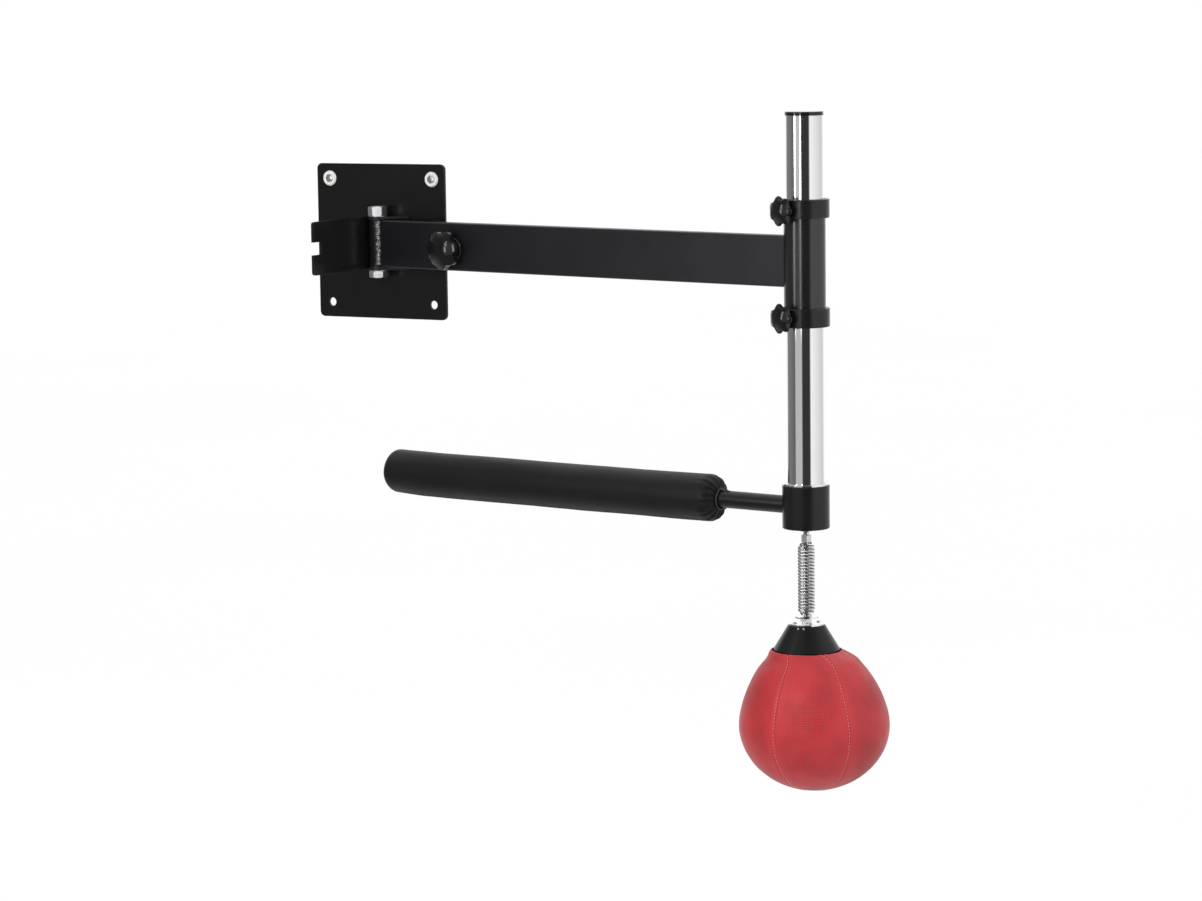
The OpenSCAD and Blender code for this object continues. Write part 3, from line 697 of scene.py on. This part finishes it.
def build_ball():
    low_corner, high_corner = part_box("ball_cover")
    skin = ball_skin("ball_leather", SKIN_INSET, BALL_COLUMNS, BALL_ROWS, "red_leather")
    from_seam = np.zeros(len(skin.data.vertices))
    skin.data.attributes["from_seam"].data.foreach_get("value", from_seam)
    rim = np.array([v.co.z for v in skin.data.vertices]) > high_corner.z - 3 * MM
    pinned = np.where(rim | (from_seam < 0.4 * MM), 1.0, 0.0)
    inflate(skin, pinned, 2.0, 16, 1.6 * MM)
    subdivided(skin)
    crease_seams(skin, low_corner.z, high_corner.z)
    threads = ball_stitches(skin)
    bladder = ball_skin("ball_inner_bladder", BLADDER_INSET, 8, 30, "bladder_rubber")
    for made in (skin, threads, bladder):
        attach(made, "ball")
    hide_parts("ball_cover")
    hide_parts("ball_bladder")


# ---------------------------------------------------------------- padded roll


def roll_frame():
    """Direction of the bar, and how far the roll reaches along it from the pole's axis."""
    low_corner, high_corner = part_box("roll_cover")
    direction = (low_corner + high_corner) / 2 - POLE
    direction.z = 0
    direction.normalize()
    reach = [(v.co - POLE).dot(direction) for v in NODES["roll_cover"].data.vertices]
    return direction, min(reach), max(reach), (high_corner.z - low_corner.z) / 2


def pleat(angle, seed):
    """Uneven folds round the roll's gathered end: sharp valleys, round crests, never two alike."""
    drift = 0.5 * noise.noise(Vector((math.cos(angle), math.sin(angle), seed)) * 1.7)
    wave = math.cos(PLEATS * (angle + drift * 0.35))
    size = 0.65 + 0.5 * noise.noise(Vector((math.cos(angle) * 2.3, math.sin(angle) * 2.3, seed + 5)))
    return size * (1 - 2 * abs(0.5 * (1 - wave)) ** 0.7)


def build_roll():
    direction, near, far, radius = roll_frame()
    aside = direction.cross(UP)
    columns = 6 * PLEATS
    rings, pins = [], []

    def ring_at(distance, r, fold=0.0, push=0.0):
        ring = []
        for k in range(columns):
            a = 2 * math.pi * k / columns
            crest = pleat(a, 2.0)
            rr = r + fold * crest
            spot = POLE + direction * (distance - push * crest)
            ring.append(spot + aside * math.cos(a) * rr + UP * math.sin(a) * rr)
        return ring

    # gathered face: a pleated dome from the mouth out to the full radius
    body_r = radius - ROLL_SLACK + 0
    for i in range(FACE_STEPS + 1):
        t = i / FACE_STEPS
        a = math.radians(90 * t)
        push = 1.5 * MM * math.sin(math.pi * min(1.0, 0.16 + 0.84 * t)) ** 1.2
        fold = 0.8 * MM * math.sin(math.pi * min(1.0, 1.1 * t)) + 0.3 * MM * t
        r = ROLL_MOUTH + (body_r - ROLL_MOUTH) * math.sin(a)
        rings.append(ring_at(near + GATHER_START + GATHER * (1 - math.cos(a)), r, fold, push))
        pins.append(1.0 if i < 2 else 0.0)
    body_start = near + GATHER_START + GATHER
    # body
    body_end = far - FAR_BEND
    for i in range(1, BODY_STEPS + 1):
        t = i / BODY_STEPS
        distance = body_start + (body_end - body_start) * t
        fold = 0.5 * MM * math.exp(-(distance - body_start) / (9 * MM))
        rings.append(ring_at(distance, body_r, fold))
        pins.append(0.0)
    # far end: a sewn disc with a rounded rim
    bend = FAR_BEND - 1.5 * MM
    for i in range(1, CAP_STEPS + 1):
        a = math.radians(90 * i / CAP_STEPS)
        r = body_r - bend + bend * math.cos(a) if i < CAP_STEPS else radius * 0.52
        rings.append(ring_at(body_end + bend * math.sin(a), r))
        pins.append(0.0)
    for share in (0.36, 0.2, 0.08):
        rings.append(ring_at(far - FAR_INSET, radius * share))
        pins.append(0.0)
    points, faces = loft([ring[::-1] for ring in rings], close_start=False)
    cover = new_piece("roll_leather", points, faces, "black_leather")
    weights = [w for w in pins for _ in range(columns)]
    inflate(cover, weights, 2.5, 14, 1.6 * MM)
    subdivided(cover)
    soften_roll(cover, direction, near, far)
    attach(cover, "spinner")
    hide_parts("roll_cover")
    build_draw_cord(direction, aside, near)


def uneven(reach, angle, along, around, shift):
    """Smooth noise over the roll's skin, closed round it."""
    places = zip(reach * along, np.cos(angle) * around + shift[0], np.sin(angle) * around + shift[1])
    return np.array([noise.noise(Vector(p)) for p in places])


def soften_roll(cover, direction, near, far):
    """Slack in the cover: long shallow waves, small creases by the gathers and a sewn seam underneath."""
    where = points_of(cover)
    origin = np.array(POLE)
    d = np.array(direction)
    reach = (where - origin) @ d
    spoke = where - origin - reach[:, None] * d
    r = np.linalg.norm(spoke, axis=1)
    spoke = spoke / np.maximum(r, 1e-6)[:, None]
    aside = np.cross(d, np.array(UP))
    angle = np.arctan2(spoke[:, 2], spoke @ aside)
    full = np.clip((r - 20 * MM) / (8 * MM), 0, 1)
    slack = uneven(reach, angle, 9, 0.9, (0, 3))
    ripple = uneven(reach, angle, 34, 1.6, (7, 0))
    by_gathers = np.exp(-np.clip(reach - near - GATHER, 0, 1) / (22 * MM))
    lift = (0.6 * slack + 0.2 * ripple + 0.4 * ripple * by_gathers) * MM
    by_far_end = np.clip((reach - far + FAR_LENGTH) / FAR_LENGTH, 0, 1) ** 2
    lift -= FAR_DROP * by_far_end * np.clip(-spoke[:, 2], 0, 1)
    off = np.abs((angle - SEAM_ANGLE + np.pi) % (2 * np.pi) - np.pi) * r
    lift -= 0.8 * MM * np.exp(-((off / (1.2 * MM)) ** 2))
    lift += 0.35 * MM * np.exp(-(((off - 3.6 * MM) / (1.8 * MM)) ** 2))
    sag = ROLL_SAG * np.sin(np.pi * np.clip((reach - near) / (far - near), 0, 1))
    where = where + spoke * (lift * full)[:, None]
    where[:, 2] -= sag * full
    cover.data.vertices.foreach_set("co", where.ravel())
    cover.data.update()


def build_draw_cord(direction, aside, near):
    """The cord that closes the mouth round the rod, and its loose end lying along the rod."""
    low_corner, high_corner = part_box("roll_draw_cord")
    loop_r = (high_corner.z - low_corner.z) / 2 - 2.1 * MM
    rings = []
    for i in range(CORD_TURNS):
        a = 2 * math.pi * i / CORD_TURNS
        out = aside * math.cos(a) + UP * math.sin(a)
        wobble = 0.5 * MM * noise.noise(out * 2.2)
        middle = POLE + direction * (near - 1.2 * MM + wobble) + out * (loop_r + wobble)
        ring = []
        for k in range(CORD_SIDES):
            b = 2 * math.pi * k / CORD_SIDES
            r = CORD_R * (1 + 0.1 * math.cos(3 * b + 14 * a))
            ring.append(middle + out * math.cos(b) * r + direction * math.sin(b) * r)
        rings.append(ring)
    points, faces = loft(rings + rings[:1], close_start=False, close_end=False)
    count = CORD_TURNS * CORD_SIDES
    faces = [tuple(i % count for i in face) for face in faces]
    loop = new_piece("draw_cord_loop", points[:count], faces, "cord")
    out = -aside * math.cos(TAIL_ANGLE) + UP * math.sin(TAIL_ANGLE)
    side = direction.cross(out).normalized()
    rings = []
    for i in range(TAIL_STEPS + 1):
        t = i / TAIL_STEPS
        middle = POLE + direction * (near + 1 * MM - TAIL_LENGTH * t)
        middle += out * (ROD_R + 0.9 * MM + 1.6 * MM * (1 - t) ** 2 + 0.4 * MM * math.sin(5 * t))
        half_w, half_t = (2.6 - 1.4 * t) * MM, 0.75 * MM
        ring = []
        for k in range(TAIL_SIDES):
            b = 2 * math.pi * k / TAIL_SIDES
            ring.append(middle + side * math.cos(b) * half_w + out * math.sin(b) * half_t)
        rings.append(ring)
    points, faces = loft(rings)
    tail = new_piece("draw_cord_tail", points, faces, "cord")
    for made in (loop, tail):
        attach(made, "spinner")
    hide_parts("roll_draw_cord")


# ---------------------------------------------------------------- spring and weld


def wire_point(t, top, low, wide, narrow):
    closing = min(1.0, t / SPRING_END_TURNS, (SPRING_TURNS - t) / SPRING_END_TURNS)
    r = narrow + (wide - narrow) * smoothstep(closing)
    a = 2 * math.pi * t
    return Vector((POLE.x + r * math.cos(a), POLE.y + r * math.sin(a), top - (top - low) * t / SPRING_TURNS))


def spring_half(name, start, end):
    """Round wire along the coil from turn start to turn end."""
    low_corner, high_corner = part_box("coil_spring")
    top, low = high_corner.z - WIRE_R, low_corner.z + WIRE_R
    wide = (high_corner.x - low_corner.x) / 2 - WIRE_R + COIL_SPREAD
    steps = int((end - start) * SPRING_STEPS)
    rings = []
    for i in range(steps + 1):
        t = start + (end - start) * i / steps
        at = wire_point(t, top, low, wide, wide - COIL_CLOSING)
        heading = (wire_point(t + 0.01, top, low, wide, wide - COIL_CLOSING) - at).normalized()
        out = Vector((at.x - POLE.x, at.y - POLE.y, 0)).normalized()
        out = (out - heading * out.dot(heading)).normalized()
        over = heading.cross(out)
        rings.append([
            at + (out * math.cos(b) + over * math.sin(b)) * WIRE_R
            for b in (2 * math.pi * k / SPRING_SIDES for k in range(SPRING_SIDES))
        ])
    points, faces = loft(rings)
    return new_piece(name, points, faces, "spring_wire")


def build_spring():
    middle = SPRING_TURNS / 2
    upper = spring_half("spring_upper_coils", 0, middle)
    lower = spring_half("spring_lower_coils", middle, SPRING_TURNS)
    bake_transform(upper)
    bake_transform(lower)
    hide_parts("coil_spring")


def build_welds():
    """Two rippled beads where the arm meets the hinge barrel."""
    arm = Vector((POLE.x - HINGE.x, POLE.y - HINGE.y, 0)).normalized()
    outward = Vector((arm.y, -arm.x, 0))
    low_corner, high_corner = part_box("hinge_welds")
    half = (high_corner.z - low_corner.z) / 2 - 0.6 * MM
    centre = Vector((HINGE.x, HINGE.y, (high_corner.z + low_corner.z) / 2))
    for name, side in (("weld_bead_front", 1), ("weld_bead_back", -1)):
        rings = []
        for i in range(WELD_STEPS + 1):
            z = -half + 2 * half * i / WELD_STEPS
            middle = centre + arm * WELD_OUT + outward * side * WELD_ASIDE + UP * z
            middle += arm * 0.6 * MM * noise.noise(Vector((z * 160, side, 0)))
            end = smoothstep((half - abs(z)) / (3 * MM))
            scallop = abs(math.sin(math.pi * z / WELD_RIPPLE))
            ring = []
            for k in range(WELD_SIDES):
                a = 2 * math.pi * k / WELD_SIDES
                lump = noise.noise(Vector((math.cos(a) * 1.4, math.sin(a) * 1.4, z * 420 + 9 * side)))
                r = (3.0 + 0.65 * scallop + 0.9 * lump) * MM * (0.35 + 0.65 * end)
                bend = 1.2 * MM * math.cos(a) ** 2
                spoke = arm * (1.5 * math.cos(a)) + outward * math.sin(a)
                ring.append(middle + spoke * r + UP * bend)
            rings.append(ring)
        points, faces = loft(rings)
        bead = new_piece(name, points, faces, "weld_steel")
        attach(bead, "arm")
        if side == 1:
            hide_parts("hinge_welds")


# ---------------------------------------------------------------- studio


def build_floor():
    """A wide pale floor far below the object; it lights the object but leaves mirrors to the panorama."""
    f = Finish("studio_floor")
    tone = f.remap(f.noise(0.4, 3), 0.3, 0.7, 0.0, 1.0)
    shade = f.colours(tone, (0.21, 0.21, 0.21), (0.22, 0.22, 0.22))
    f.set(Base_Color=shade, Roughness=0.8, Specular_IOR_Level=0.1)
    f.set(Emission_Color=(1, 1, 1, 1), Emission_Strength=0.78)
    half, drop, steps = 40.0, 1.6, 24
    points, faces = [], []
    for i in range(steps + 1):
        for k in range(steps + 1):
            points.append((half * (2 * i / steps - 1), half * (2 * k / steps - 1), -drop))
    for i in range(steps):
        for k in range(steps):
            a = i * (steps + 1) + k
            faces.append((a, a + steps + 1, a + steps + 2, a + 1))
    mesh = bpy.data.meshes.new("floor")
    mesh.from_pydata(points, [], faces)
    mesh.materials.append(f.material)
    floor = bpy.data.objects.new("floor", mesh)
    bpy.context.scene.collection.objects.link(floor)
    floor.visible_glossy = False


# Studio panorama round the object: degrees from the camera's side (positive to the right) and brightness.
ROOM = ((-180, 1.0), (-142, 1.0), (-128, 0.22), (-68, 0.13), (-20, 0.15), (-15, 0.035), (26, 0.035),
        (34, 0.95), (60, 0.85), (125, 0.62), (150, 1.0), (180, 1.0))
BEHIND = ((-180, 1.0), (-115, 1.0), (-65, 0.22), (60, 0.22), (110, 1.0), (180, 1.0))
# Two tall lamps and the pale cloth between them, seen only in reflections: degrees and brightness.
LAMPS = ((-63, -56, 5.5), (-56, -27, 0.55), (-27, -21, 5.5))
LAMP_DISTANCE = 1.7


def build_lamps():
    """Upright cards on an arc round the pole. They fade towards their lower ends."""
    for number, (start, end, power) in enumerate(LAMPS):
        f = Finish("lamp_%d" % number)
        height = f.node("ShaderNodeSeparateXYZ", {"Vector": f.place}).outputs["Z"]
        fade = f.remap(height, -0.27, -0.14, min(1.0, 0.5 / power), 1.0)
        fade = f.math("MULTIPLY", fade, f.remap(height, -0.62, -0.54, 0.1, 1.0))
        f.set(Base_Color=(0, 0, 0, 1), Specular_IOR_Level=0.0, Emission_Color=(1, 1, 1, 1))
        f.set(Emission_Strength=f.math("MULTIPLY", fade, power))
        points = []
        for degrees in np.linspace(start, end, 6):
            a = math.radians(CAMERA_AZIMUTH - 3 + degrees)
            foot = Vector((POLE.x, POLE.y, 0)) + Vector((math.sin(a), -math.cos(a), 0)) * LAMP_DISTANCE
            points += [foot - UP * 0.75, foot + UP * 0.9]
        mesh = bpy.data.meshes.new("lamp_card")
        mesh.from_pydata(points, [], [(k, k + 2, k + 3, k + 1) for k in range(0, 10, 2)])
        mesh.materials.append(f.material)
        card = bpy.data.objects.new("lamp_card_%d" % number, mesh)
        bpy.context.scene.collection.objects.link(card)
        for kind in ("camera", "diffuse", "shadow", "transmission"):
            setattr(card, "visible_" + kind, False)


def build_world():
    world = bpy.data.worlds.new("studio")
    bpy.context.scene.world = world
    world.use_nodes = True
    tree = world.node_tree
    background = tree.nodes["Background"]

    def node(kind, inputs=None, **settings):
        made = tree.nodes.new(kind)
        for key, value in settings.items():
            setattr(made, key, value)
        for key, value in (inputs or {}).items():
            if isinstance(value, bpy.types.NodeSocket):
                tree.links.new(value, made.inputs[key])
            else:
                made.inputs[key].default_value = value
        return made

    def calculate(operation, a, b=0.0):
        return node("ShaderNodeMath", {0: a, 1: b}, operation=operation).outputs["Value"]

    def band(position, stops):
        ramp = node("ShaderNodeValToRGB", {"Fac": position})
        elements = ramp.color_ramp.elements
        for index, (degrees, value) in enumerate(stops):
            place = degrees / 360 + 0.5
            element = elements[index] if index < len(elements) and index < 2 else elements.new(place)
            element.position = place
            element.color = (value, value, value, 1)
        return ramp.outputs["Color"]

    def ease(value, low, high, to_low=0.0, to_high=1.0):
        made = node(
            "ShaderNodeMapRange",
            {"Value": value, "From Min": low, "From Max": high, "To Min": to_low, "To Max": to_high},
            interpolation_type="SMOOTHSTEP",
        )
        return made.outputs["Result"]

    direction = node("ShaderNodeTexCoord").outputs["Generated"]
    turned = node(
        "ShaderNodeVectorRotate",
        {"Vector": direction, "Axis": (0, 0, 1), "Angle": -math.radians(CAMERA_AZIMUTH - 3)},
        rotation_type="AXIS_ANGLE",
    )
    parts = node("ShaderNodeSeparateXYZ", {"Vector": turned.outputs["Vector"]}).outputs
    azimuth = calculate("ARCTAN2", parts["X"], calculate("MULTIPLY", parts["Y"], -1.0))
    position = calculate("ADD", calculate("DIVIDE", azimuth, 2 * math.pi), 0.5)
    height = calculate("ARCSINE", parts["Z"])
    behind = band(position, BEHIND)
    overhead = ease(height, math.radians(28), math.radians(50))
    under = ease(height, math.radians(-14), math.radians(-32))
    glossy = node("ShaderNodeLightPath").outputs["Is Glossy Ray"]
    mirrored = node("ShaderNodeMix", {"Factor": glossy, "A": 1.0, "B": behind}, data_type="FLOAT")
    dimmed = mirrored.outputs["Result"]
    light = calculate("MULTIPLY", band(position, ROOM), calculate("SUBTRACT", 1.0, overhead))
    light = calculate("ADD", light, calculate("MULTIPLY", calculate("MULTIPLY", overhead, dimmed), 1.15))
    light = calculate("MULTIPLY", light, calculate("SUBTRACT", 1.0, under))
    light = calculate("ADD", light, calculate("MULTIPLY", calculate("MULTIPLY", under, dimmed), 0.75))
    seen = node("ShaderNodeLightPath").outputs["Is Camera Ray"]
    chosen = node("ShaderNodeMix", {"Factor": seen, "A": light, "B": 1.0}, data_type="FLOAT")
    tree.links.new(chosen.outputs["Result"], background.inputs["Strength"])
    background.inputs["Color"].default_value = (1, 1, 1, 1)


def softbox(name, azimuth, elevation, distance, size, power):
    """A square area light that faces the object's centre."""
    light = bpy.data.lights.new(name, "AREA")
    light.shape = "SQUARE"
    light.size = size
    light.energy = power
    a, e = math.radians(azimuth), math.radians(elevation)
    back = Vector((math.sin(a) * math.cos(e), -math.cos(a) * math.cos(e), math.sin(e)))
    lamp = bpy.data.objects.new(name, light)
    lamp.location = CAMERA_AIM + back * distance
    lamp.rotation_euler = (-back).to_track_quat("-Z", "Y").to_euler()
    lamp.visible_glossy = False
    bpy.context.scene.collection.objects.link(lamp)


def build_camera():
    a, e, roll = (math.radians(x) for x in (CAMERA_AZIMUTH, CAMERA_ELEVATION, CAMERA_ROLL))
    back = Vector((math.sin(a) * math.cos(e), -math.cos(a) * math.cos(e), math.sin(e)))
    right = Vector((math.cos(a), math.sin(a), 0))
    over = back.cross(right)
    tilt = Matrix.Rotation(-roll, 3, back)
    right, over = tilt @ right, tilt @ over
    camera = bpy.data.objects.new("camera", bpy.data.cameras.new("camera"))
    camera.data.lens = CAMERA_LENS
    camera.data.sensor_width = 36.0
    camera.data.clip_end = 200.0
    turn = Matrix((right, over, back)).transposed()
    camera.matrix_world = Matrix.Translation(CAMERA_AIM + back * CAMERA_DISTANCE) @ turn.to_4x4()
    bpy.context.scene.collection.objects.link(camera)
    bpy.context.scene.camera = camera


dress_cad_nodes()
build_welds()
build_spring()
build_roll()
build_ball()
build_floor()
build_world()
build_lamps()
softbox("key_light", CAMERA_AZIMUTH - 28, 14, 3.2, 1.6, 70)
softbox("fill_light", CAMERA_AZIMUTH + 50, 20, 3.6, 2.0, 25)
build_camera()
bpy.context.scene.view_settings.view_transform = "Standard"
